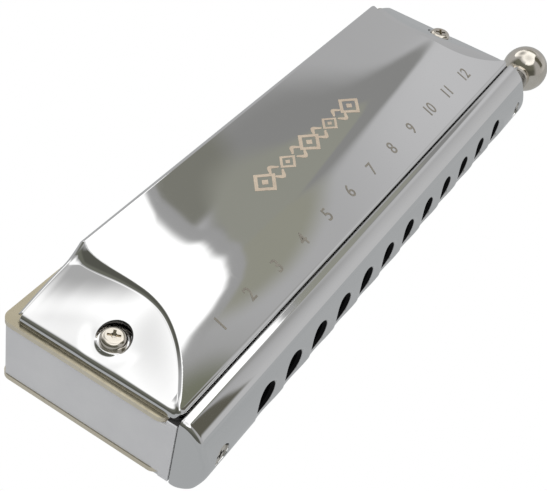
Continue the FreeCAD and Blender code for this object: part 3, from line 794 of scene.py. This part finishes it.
def add_shell(skin, xs, lip):
    "strips over and under the band, and the band between the cells"
    for a, b in zip(xs, xs[1:]):
        for side in (1, -1):
            for (d0, h0), (d1, h1) in zip(lip, lip[1:]):
                skin.patch((a, d0, side * h0), (b, d0, side * h0),
                           (b, d1, side * h1), (a, d1, side * h1))
        if not in_cell(a, b):
            for h0, h1 in zip(BAND, BAND[1:]):
                d0, d1 = front_depth(h0), front_depth(h1)
                skin.patch((a, d0, h0), (b, d0, h0), (b, d1, h1), (a, d1, h1))


def cell_border(x, half, columns):
    "x, height round the border of a cell, from its upper left corner"
    across = [2 * half * i / columns for i in range(columns)]
    along = [2 * BAND_HALF * i / BAND_ROWS for i in range(BAND_ROWS)]
    return ([(x - half + v, BAND_HALF) for v in across]
            + [(x + half, BAND_HALF - v) for v in along]
            + [(x + half - v, -BAND_HALF) for v in across]
            + [(x - half, -BAND_HALF + v) for v in along])


def cell_spoke(centre, kind, border_x, border_height):
    "places from the recess up the bore and out over the front to one border point"
    reach = math.hypot(border_x - centre, border_height)
    cos, sin = (border_x - centre) / reach, border_height / reach
    if kind == "hole":
        steps, rim = 18, HOLE_R
        spoke = [(HOLE_R, RECESS + rise) for rise in (0.0, 1.0, 2.0)]
        radii = [HOLE_R]
    else:
        steps, rim = 5, SCREW_HEAD_R + SCREW_LIP_R
        spoke = [(SCREW_BORE_R, RECESS), (SCREW_BORE_R, SCREW_STEP),
                 (SCREW_HEAD_R, SCREW_STEP), (SCREW_HEAD_R, M_DEPTH - 1.2)]
        radii = [rim - SCREW_LIP_R * math.sin(math.radians(q)) for q in (90, 60, 30, 0)]
    radii += [rim + (reach - rim) * (i + 1) / steps for i in range(steps - 1)]
    for radius in radii:
        setback = M_DEPTH - front_depth(radius * sin)
        if kind == "hole":
            t = min(1.0, (radius - DISH_INNER) / (DISH_R - DISH_INNER))
            sunk = DISH_DEPTH * (1 - t * t * (3 - 2 * t))
            back = (max(setback, 0.0) ** 2.5 + sunk ** 2.5) ** 0.4
        else:
            sunk = 0.0
            if radius < rim:
                inner = max(0.0, SCREW_LIP_R * SCREW_LIP_R - (rim - radius) ** 2)
                sunk = SCREW_LIP_R - math.sqrt(inner)
            back = setback + sunk
        spoke.append((radius, M_DEPTH - back))
    places = [(centre + radius * cos, depth, radius * sin) for radius, depth in spoke]
    return places + [(border_x, front_depth(border_height), border_height)]


def add_cell(skin, centre, half, columns, kind):
    "front surface and bore of an opening, and the recess floor round it"
    border = cell_border(centre, half, columns)
    spokes = [cell_spoke(centre, kind, x, height) for x, height in border]
    following = spokes[1:] + spokes[:1]
    for a, b in zip(spokes, following):
        for j in range(len(a) - 1):
            skin.patch(a[j], a[j + 1], b[j + 1], b[j])
    for p0, p1, a, b in zip(border, border[1:] + border[:1], spokes, following):
        skin.patch(a[0], b[0], (max(p1[0], RECESS_LEFT), RECESS, p1[1]),
                   (max(p0[0], RECESS_LEFT), RECESS, p0[1]))


def add_recess(skin, xs):
    "rest of the recess floor, and the recess walls"
    floor_xs = sorted({RECESS_LEFT} | {x for x in xs if x > RECESS_LEFT}) + [M_RIGHT]
    for a, b in zip(floor_xs, floor_xs[1:]):
        if not in_cell(a, b):
            for h0, h1 in zip(BAND, BAND[1:]):
                skin.patch((a, RECESS, h0), (b, RECESS, h0), (b, RECESS, h1), (a, RECESS, h1))
        for side in (1, -1):
            band, edge = side * BAND_HALF, side * RECESS_HALF
            skin.patch((a, RECESS, band), (b, RECESS, band),
                       (b, RECESS, edge), (a, RECESS, edge))
            skin.patch((a, RECESS, edge), (b, RECESS, edge), (b, 0, edge), (a, 0, edge))
    for h0, h1 in zip([-RECESS_HALF] + BAND, BAND + [RECESS_HALF]):
        skin.patch((RECESS_LEFT, RECESS, h0), (RECESS_LEFT, RECESS, h1),
                   (RECESS_LEFT, 0, h1), (RECESS_LEFT, 0, h0))


def section_normals(section):
    "outward directions (depth, height) along the section"
    last = len(section) - 1
    normals = []
    for i, (depth, height) in enumerate(section):
        a, b = section[max(0, i - 1)], section[min(last, i + 1)]
        along_d, along_h = b[0] - a[0], b[1] - a[1]
        size = math.hypot(along_d, along_h)
        nd, nh = -along_h / size, along_d / size
        if nd * (depth - 2) + nh * height < 0:
            nd, nh = -nd, -nh
        normals.append((nd, nh))
    normals[:2] = [(0.0, 1.0)] * 2
    normals[-2:] = [(0.0, -1.0)] * 2
    return normals


def rounded_end(skin, section, side, x_end):
    "rings that roll the section inward; the last ring is returned"
    normals = section_normals(section)
    previous = [skin.vert(x_end - side * END_R, d, h) for d, h in section]
    for k in range(1, END_STEPS + 1):
        angle = math.pi / 2 * k / END_STEPS
        inset = END_R * (1 - math.cos(angle))
        x = x_end - side * END_R * (1 - math.sin(angle))
        ring = [skin.vert(x, d - nd * inset, h - nh * inset)
                for (d, h), (nd, nh) in zip(section, normals)]
        for i in range(len(section) - 1):
            skin.face(previous[i], previous[i + 1], ring[i + 1], ring[i])
        previous = ring
    return previous


def add_ends(skin, section):
    "closed left end, right end with the recess open through it"
    left = rounded_end(skin, section, -1, M_LEFT)
    right = rounded_end(skin, section, 1, M_RIGHT)
    count = len(section)
    for i in range(count // 2):
        j = count - 1 - i
        if j - 1 >= i + 1:
            skin.face(left[i], left[i + 1], left[j - 1], left[j])
    # ring vertex nearest to the recess floor, past the first three
    level = min(range(3, count // 2), key=lambda i: abs(M_BACK - right[i].co.y - RECESS))
    for side, ring in ((1, right), (-1, right[::-1])):
        edge = [skin.vert(M_RIGHT, RECESS * i / level, side * RECESS_HALF)
                for i in range(level + 1)]
        for i in range(level):
            skin.face(ring[i], ring[i + 1], edge[i + 1], edge[i])
    floor_edge = [skin.vert(M_RIGHT, RECESS, h) for h in [-RECESS_HALF] + BAND + [RECESS_HALF]]
    skin.bm.faces.new(right[level:count - level] + floor_edge)


def back_half(x):
    "half height of the back edge at x"
    from_end = min(x - M_LEFT, M_RIGHT - x)
    if from_end >= END_R:
        return BACK_HALF
    return BACK_HALF - END_R * (1 - math.sqrt(max(0.0, 1 - (1 - from_end / END_R) ** 2)))


def add_back(skin, xs):
    "back face round the recess"
    end_xs = [M_LEFT] + [M_LEFT + END_R * (1 - math.sin(math.pi / 2 * k / END_STEPS))
                         for k in range(END_STEPS - 1, -1, -1)]
    mirrored = [M_RIGHT - (x - M_LEFT) for x in end_xs]
    columns = sorted({round(x, 5) for x in end_xs + xs + mirrored})
    for a, b in zip(columns, columns[1:]):
        for side in (1, -1):
            outer_a, outer_b = (a, 0, side * back_half(a)), (b, 0, side * back_half(b))
            edge = side * RECESS_HALF
            if b <= RECESS_LEFT + 1e-6:
                skin.patch(outer_a, outer_b, (b, 0, 0), (a, 0, 0))
            else:
                skin.patch(outer_a, outer_b, (b, 0, edge), (max(a, RECESS_LEFT), 0, edge))
                if a < RECESS_LEFT:
                    skin.patch(outer_a, (RECESS_LEFT, 0, edge), (RECESS_LEFT, 0, 0), (a, 0, 0))


def match_corners(bm):
    "where a long open edge meets several short ones, give it the same corners"
    for _ in range(40):
        open_edges = [edge for edge in bm.edges if len(edge.link_faces) == 1]
        open_verts = set(vert for edge in open_edges for vert in edge.verts)
        splits = []
        for edge in open_edges:
            a, b = edge.verts
            ab = b.co - a.co
            best = None                     # nearest to the middle of the edge
            for vert in open_verts:
                if vert is a or vert is b:
                    continue
                t = (vert.co - a.co).dot(ab) / ab.length_squared
                on_edge = 0.001 < t < 0.999 and (a.co + ab * t - vert.co).length < 2e-4
                if on_edge and (best is None or abs(t - 0.5) < abs(best[0] - 0.5)):
                    best = (t, vert)
            if best:
                splits.append((edge, a, *best))
        if not splits:
            break
        weld = {}
        for edge, start, t, vert in splits:
            _, corner = bmesh.utils.edge_split(edge, start, t)
            corner.co = vert.co
            weld[corner] = vert
        bmesh.ops.weld_verts(bm, targetmap=weld)


def mouthpiece_mesh():
    skin = Skin()
    band_depth, band_t = outline_at(BAND_HALF)
    lip = [(band_depth, BAND_HALF)]
    lip += [outline(band_t * (1 - i / LIP_STEPS)) for i in range(1, LIP_STEPS + 1)]
    lip.append((0.0, BACK_HALF))
    section = (lip[::-1] + [(front_depth(h), h) for h in reversed(BAND)][1:-1]
               + [(depth, -height) for depth, height in lip])
    xs = mouth_stations()
    add_shell(skin, xs, lip)
    for cell in CELLS:
        add_cell(skin, *cell)
    add_recess(skin, xs)
    add_ends(skin, section)
    add_back(skin, xs)
    bm = skin.bm
    bmesh.ops.remove_doubles(bm, verts=bm.verts[:], dist=0.0008)
    loose = [edge for edge in bm.edges if not edge.link_faces]
    bmesh.ops.delete(bm, geom=loose, context="EDGES")
    match_corners(bm)
    bmesh.ops.recalc_face_normals(bm, faces=bm.faces[:])
    mesh = smooth_mesh(bm, "mouthpiece_shell")
    mesh.set_sharp_from_angle(angle=math.radians(32))
    return mesh


add_object("mouthpiece_shell", mouthpiece_mesh(), "mouthpiece_chrome",
           ("mouthpiece",))

# ---------------------------------------------------------------- markings on the cover
MARK_LIFT = 0.02
DIGIT_HEIGHT, DIGIT_Y = 2.55, -19.75
DIGIT_SHARE = 0.69                          # digit height as a share of the font size
BAND_X, BAND_Y, BAND_LENGTH = -1.0, -7.6, 41.0
LOZENGES = 5
BIG_LOZENGE = (3.5, 2.7)                    # half width, half height
SMALL_LOZENGE = (2.6, 2.7 * 0.72)


def marking_mesh(bm, name):
    for face in bm.faces:
        if face.normal.z < 0:
            face.normal_flip()
    return to_mesh(bm, name)


def add_marking(name, mesh, material):
    "lays a flat marking on the cover"
    for vert in mesh.vertices:
        x, y, relief = vert.co
        vert.co = (x * MM, y * MM, (cover_height(x, y) + MARK_LIFT + relief) * MM)
    for polygon in mesh.polygons:
        polygon.use_smooth = False
    add_object(name, mesh, material)


def numbers_mesh():
    "hole numbers 1 to 12, one mesh"
    bm = bmesh.new()
    for number, hole_x in enumerate(HOLES_X, start=1):
        name = "n%d" % number
        text = bpy.data.curves.new(name, "FONT")
        text.body = str(number)
        text.size = DIGIT_HEIGHT / DIGIT_SHARE
        text.align_x = "CENTER"
        text.align_y = "CENTER"
        text.resolution_u = 6
        text.space_character = 0.95
        text.offset = 0.035
        obj = bpy.data.objects.new(name, text)
        scene.collection.objects.link(obj)
        bpy.context.view_layer.update()
        mesh = bpy.data.meshes.new_from_object(obj)
        for vert in mesh.vertices:
            vert.co = (hole_x + vert.co.x, DIGIT_Y + vert.co.y, 0)
        bm.from_mesh(mesh)
        bpy.data.objects.remove(obj)
        bpy.data.meshes.remove(mesh)
    bmesh.ops.triangulate(bm, faces=bm.faces[:])
    # short edges follow the curve of the cover
    long_edges = [edge for edge in bm.edges if edge.calc_length() > 0.6]
    bmesh.ops.subdivide_edges(bm, edges=long_edges, cuts=1, use_grid_fill=False)
    return marking_mesh(bm, "hole_numbers")


def add_ribbon(bm, points, half_widths, strips=3):
    "strip of quads along a plan polyline"
    last = len(points) - 1
    rows = []
    for i, ((x, y), half) in enumerate(zip(points, half_widths)):
        a, b = points[max(0, i - 1)], points[min(last, i + 1)]
        along = Vector((b[0] - a[0], b[1] - a[1])).normalized()
        offsets = [half * (j / strips * 2 - 1) for j in range(strips + 1)]
        rows.append([bm.verts.new((x - along.y * v, y + along.x * v, 0)) for v in offsets])
    for r0, r1 in zip(rows, rows[1:]):
        for j in range(strips):
            bm.faces.new((r0[j], r1[j], r1[j + 1], r0[j + 1]))


def add_lozenge(bm, x, half_x, half_y):
    "open lozenge, two quads wide, with a small solid one inside"
    steps, inner, solid = 12, 0.66, 0.28
    corners = [(-half_x, 0), (0, half_y), (half_x, 0), (0, -half_y)]
    for p, q in zip(corners, corners[1:] + corners[:1]):
        previous = None
        for k in range(steps + 1):
            t = k / steps
            dx, dy = p[0] + (q[0] - p[0]) * t, p[1] + (q[1] - p[1]) * t
            row = [bm.verts.new((x + dx * share, BAND_Y + dy * share, 0))
                   for share in (1, (1 + inner) / 2, inner)]
            if previous:
                for j in range(2):
                    bm.faces.new((previous[j], previous[j + 1], row[j + 1], row[j]))
            previous = row
    bm.faces.new([bm.verts.new((x + dx * half_x * solid, BAND_Y + dy * half_y * solid, 0))
                  for dx, dy in ((-1, 0), (0, -1), (1, 0), (0, 1))])


def ornament_mesh():
    "band of large and small open lozenges with a pair of curved bars between them"
    bm = bmesh.new()
    left, pitch = BAND_X - BAND_LENGTH / 2, BAND_LENGTH / LOZENGES
    for i in range(LOZENGES):
        add_lozenge(bm, left + pitch * (i + 0.5), *(SMALL_LOZENGE if i % 2 else BIG_LOZENGE))
    steps, half_bar = 10, 1.6
    bar = [k / steps for k in range(steps + 1)]
    half_widths = [0.16 + 0.26 * math.sin(math.pi * t) for t in bar]
    for i in range(1, LOZENGES):
        start = left + pitch * i - half_bar
        for side in (-1, 1):
            points = [(start + 2 * half_bar * t,
                       BAND_Y + side * (1.05 + 0.55 * math.cos(math.pi * (t - 0.5) * 2)))
                      for t in bar]
            add_ribbon(bm, points, half_widths)
    bmesh.ops.recalc_face_normals(bm, faces=bm.faces[:])
    return marking_mesh(bm, "ornament_band")


MARK_BUMP = dict(bump_grain=dict(scale=4000, detail=2),
                 bump=dict(strength=0.3, distance=0.00001))
grained("etched_marks", (0.28, 0.255, 0.215), metallic=0.35, roughness=0.55,
        grain=dict(scale=700, detail=4), rough=(0.45, 0.7),
        tones=((0.295, 0.272, 0.23), (0.235, 0.215, 0.18)), **MARK_BUMP)
grained("satin_ornament", (0.60, 0.50, 0.41), metallic=0.25, roughness=0.5,
        grain=dict(scale=300, detail=4), rough=(0.42, 0.62),
        tones=((0.58, 0.48, 0.37), (0.49, 0.40, 0.31)), **MARK_BUMP)
add_marking("hole_numbers", numbers_mesh(), "etched_marks")
add_marking("ornament_band", ornament_mesh(), "satin_ornament")

# ---------------------------------------------------------------- studio seen in reflections
# Soft ellipses, later ones over earlier ones, in degrees:
# azimuth, elevation, radius along each, tilt, edge softness (share of the radius), colour.
PATCHES = [
    (-6, 33, 16, 5, -5, 0.8, (0.62, 0.62, 0.63)),           # glow below the oval
    (-42, 6, 24, 20, 0, 0.7, (0.58, 0.58, 0.585)),          # low glow
    (-26, 52, 22, 5.5, 60, 0.6, (0.37, 0.37, 0.365)),       # steep dim streak
    (8, 41.2, 21.0, 7.5, -9, 0.10, (0.285, 0.285, 0.28)),   # dark oval
    (29, 40.4, 2.7, 3.3, 0, 0.35, (0.225, 0.225, 0.195)),   # darker spot at its end
    (7, 43.2, 20.8, 5.0, -9, 0.07, (0.325, 0.328, 0.285)),  # olive upper part
    (-15, 46.5, 3.2, 5.5, 38, 0.25, (0.33, 0.33, 0.275)),   # olive spot at its other end
    (-27.5, 52.5, 5.5, 3.0, -35, 0.3, (0.20, 0.207, 0.155)),  # dark spot above that
]
# Lower rim of the white source overhead: azimuth, elevation.
SOURCE_RIM = [
    (-180, 52), (-120, 54), (-75, 62), (-40, 62), (-28, 57), (-24, 54.0), (-21.5, 51.9),
    (-20.3, 51.2), (-19.5, 50.6), (-18.8, 49.8), (-17.6, 48.9), (-15.9, 48.1), (-12.4, 48.4),
    (-1, 49.7), (8, 49.2), (15, 47.9), (21.9, 45.9), (26, 44.6), (29.2, 43.2), (31, 42.3),
    (32.1, 41.0), (35, 36), (45, 31), (70, 24), (90, 30), (120, 50), (180, 52)]


class Sky(Graph):
    def __init__(self, tree):
        super().__init__(tree)
        x, y, z = self.split(self.node("ShaderNodeTexCoord").outputs["Generated"])
        degrees = 180 / math.pi
        self.azimuth = self.times(self.math("ARCTAN2", y, x), degrees)
        self.elevation = self.times(self.math("ARCSINE", z), degrees)

    def fade(self, value, start, end):
        "0 at start, 1 at end"
        return self.remap(value, start, end, kind="SMOOTHSTEP")

    def curve(self, value, points, high):
        "smooth curve through points with y between 0 and high"
        first, last = points[0][0], points[-1][0]
        share = self.remap(value, first, last)
        node = self.node("ShaderNodeFloatCurve")
        curve = node.mapping.curves[0]
        while len(curve.points) < len(points):
            curve.points.new(0.5, 0.5)
        for point, (x, y) in zip(curve.points, points):
            point.location = ((x - first) / (last - first), y / high)
            point.handle_type = "AUTO"
        node.mapping.update()
        self.put(node.inputs["Value"], share)
        return self.remap(node.outputs[0], 0, 1, 0, high)

    def ellipse(self, azimuth, elevation, radius_a, radius_e, tilt, softness):
        "1 inside, 0 outside"
        cos, sin = math.cos(math.radians(tilt)), math.sin(math.radians(tilt))
        da = self.minus(self.azimuth, azimuth)
        de = self.minus(self.elevation, elevation)
        u = self.plus(self.times(da, cos), self.times(de, sin))
        v = self.minus(self.times(de, cos), self.times(da, sin))
        u = self.math("DIVIDE", u, radius_a)
        v = self.math("DIVIDE", v, radius_e)
        radius = self.math("SQRT", self.plus(self.times(u, u), self.times(v, v)))
        return self.fade(radius, start=1 + softness, end=1 - softness)


def far_shape(sky):
    "mask of a shape bounded by a leaning arc, between azimuths -75 and -31"
    radius = sky.distance(sky.plus(sky.azimuth, 5), sky.minus(sky.elevation, 5))
    lean = sky.times(sky.minus(sky.elevation, 16.5), 0.14)
    beyond = sky.fade(sky.minus(radius, lean), start=46.9, end=47.9)
    near_side = sky.fade(sky.azimuth, start=-31, end=-36)
    low_side = sky.fade(sky.elevation, start=14, end=22)
    far_side = sky.fade(sky.azimuth, start=-75, end=-65)
    return sky.times(beyond, sky.times(near_side, sky.times(low_side, far_side)))


def dark_room(sky, color):
    "dark wall on the -x side"
    turned = sky.fade(sky.math("ABSOLUTE", sky.azimuth), start=95, end=118)
    above = sky.fade(sky.elevation, start=-6, end=3)
    below = sky.fade(sky.elevation, start=60, end=47)
    mask = sky.times(turned, sky.times(above, below))
    rising = sky.fade(sky.elevation, start=20, end=34)
    wall = sky.mix(rising, (0.105, 0.106, 0.09), (0.165, 0.168, 0.14))
    return sky.mix(mask, color, wall)


def white_source(sky, color):
    "large white source overhead, with a grey band under part of its rim"
    rim = sky.curve(sky.azimuth, SOURCE_RIM, high=90)
    over_rim = sky.minus(sky.elevation, rim)
    band = sky.times(sky.fade(over_rim, start=-1.35, end=-0.95),
                     sky.fade(sky.azimuth, start=-22, end=-18))
    color = sky.mix(band, color, grey(0.385))
    inside = sky.fade(over_rim, start=-0.3, end=0.4)
    full, low, overhead = grey(1.42), grey(0.42), grey(0.97)
    # at high azimuth the source is dim near its rim
    side = sky.fade(sky.azimuth, start=78, end=100)
    dimmed = sky.mix(sky.fade(sky.elevation, start=50, end=72), low, full)
    source = sky.mix(side, full, dimmed)
    hollow = sky.ellipse(azimuth=62, elevation=50, radius_a=21, radius_e=11,
                         tilt=0, softness=0.8)
    source = sky.mix(hollow, source, grey(0.48))
    source = sky.mix(sky.fade(sky.elevation, start=62, end=86), source, overhead)
    return sky.mix(inside, color, source)


def build_world():
    world = bpy.data.worlds.new("studio")
    scene.world = world
    world.use_nodes = True
    sky = Sky(world.node_tree)
    color = (0.47, 0.47, 0.475)
    for *shape, patch_color in PATCHES:
        color = sky.mix(sky.ellipse(*shape), color, patch_color)
    color = sky.mix(far_shape(sky), color, (0.125, 0.12, 0.095))
    color = dark_room(sky, color)
    color = white_source(sky, color)
    # plain light for diffuse surfaces, plain white for the camera
    rays = sky.node("ShaderNodeLightPath").outputs
    color = sky.mix(rays["Is Diffuse Ray"], color, (0.86, 0.87, 0.88))
    color = sky.mix(rays["Is Camera Ray"], color, grey(1.0))
    background = sky.tree.nodes["Background"]
    sky.put(background.inputs["Color"], color)
    sky.put(background.inputs["Strength"], 1.0)


# ---------------------------------------------------------------- floor, light, camera (metres)
FLOOR_HALF, FLOOR_Z = 3.0, -0.0005


def build_floor():
    "glowing paper: white to the camera, grey in reflections"
    bm = bmesh.new()
    bm.faces.new([bm.verts.new((sx * FLOOR_HALF, sy * FLOOR_HALF, FLOOR_Z))
                  for sx, sy in ((-1, -1), (1, -1), (1, 1), (-1, 1))])
    mesh = to_mesh(bm, "floor")
    obj = bpy.data.objects.new("floor", mesh)
    scene.collection.objects.link(obj)
    m = Material("floor_paper", grey(0.9), metallic=0.0, roughness=0.8)
    emission = m.node("ShaderNodeEmission")
    rays = m.node("ShaderNodeLightPath").outputs
    mottle = m.noise(scale=14, detail=3)
    paper = m.tones(mottle, (0.425, 0.437, 0.445), (0.465, 0.475, 0.482))
    color = m.mix(rays["Is Glossy Ray"], grey(0.62), paper)
    color = m.mix(rays["Is Camera Ray"], color, grey(1.0))
    m.put(emission.inputs["Color"], color)
    m.put(m.tree.nodes["Material Output"].inputs["Surface"], emission.outputs[0])
    mesh.materials.append(m.data)


def build_key_light():
    "soft light from above and behind, left out of reflections"
    place, target = Vector((-0.05, 0.30, 0.6)), Vector((0, -0.01, 0.015))
    light = bpy.data.lights.new("key", "AREA")
    light.energy = 1.6
    light.shape = "SQUARE"
    light.size = 0.5
    obj = bpy.data.objects.new("key", light)
    scene.collection.objects.link(obj)
    obj.location = place
    obj.rotation_euler = (target - place).to_track_quat("-Z", "Y").to_euler()
    obj.visible_glossy = False


# world to camera (x right, y down, z forward), axis times angle in radians
CAMERA_TURN = (2.15846337, -1.09848121, 0.689707070)
CAMERA_PLACE = (-162.21338027, -72.63417573, 158.7268145)  # millimetres
CAMERA_LENS, CAMERA_SENSOR = 73.0832183, 36.0


def build_camera():
    data = bpy.data.cameras.new("cam")
    obj = bpy.data.objects.new("cam", data)
    scene.collection.objects.link(obj)
    angle = math.hypot(*CAMERA_TURN)
    right, down, forward = Matrix.Rotation(angle, 3, Vector(CAMERA_TURN) / angle)
    pose = Matrix((right, -down, -forward)).transposed().to_4x4()
    pose.translation = Vector(CAMERA_PLACE) * MM
    obj.matrix_world = pose
    data.lens = CAMERA_LENS
    data.sensor_width = CAMERA_SENSOR
    data.clip_start = 0.005
    data.clip_end = 20
    scene.camera = obj


build_world()
build_floor()
build_key_light()
build_camera()
scene.view_settings.view_transform = "Standard"
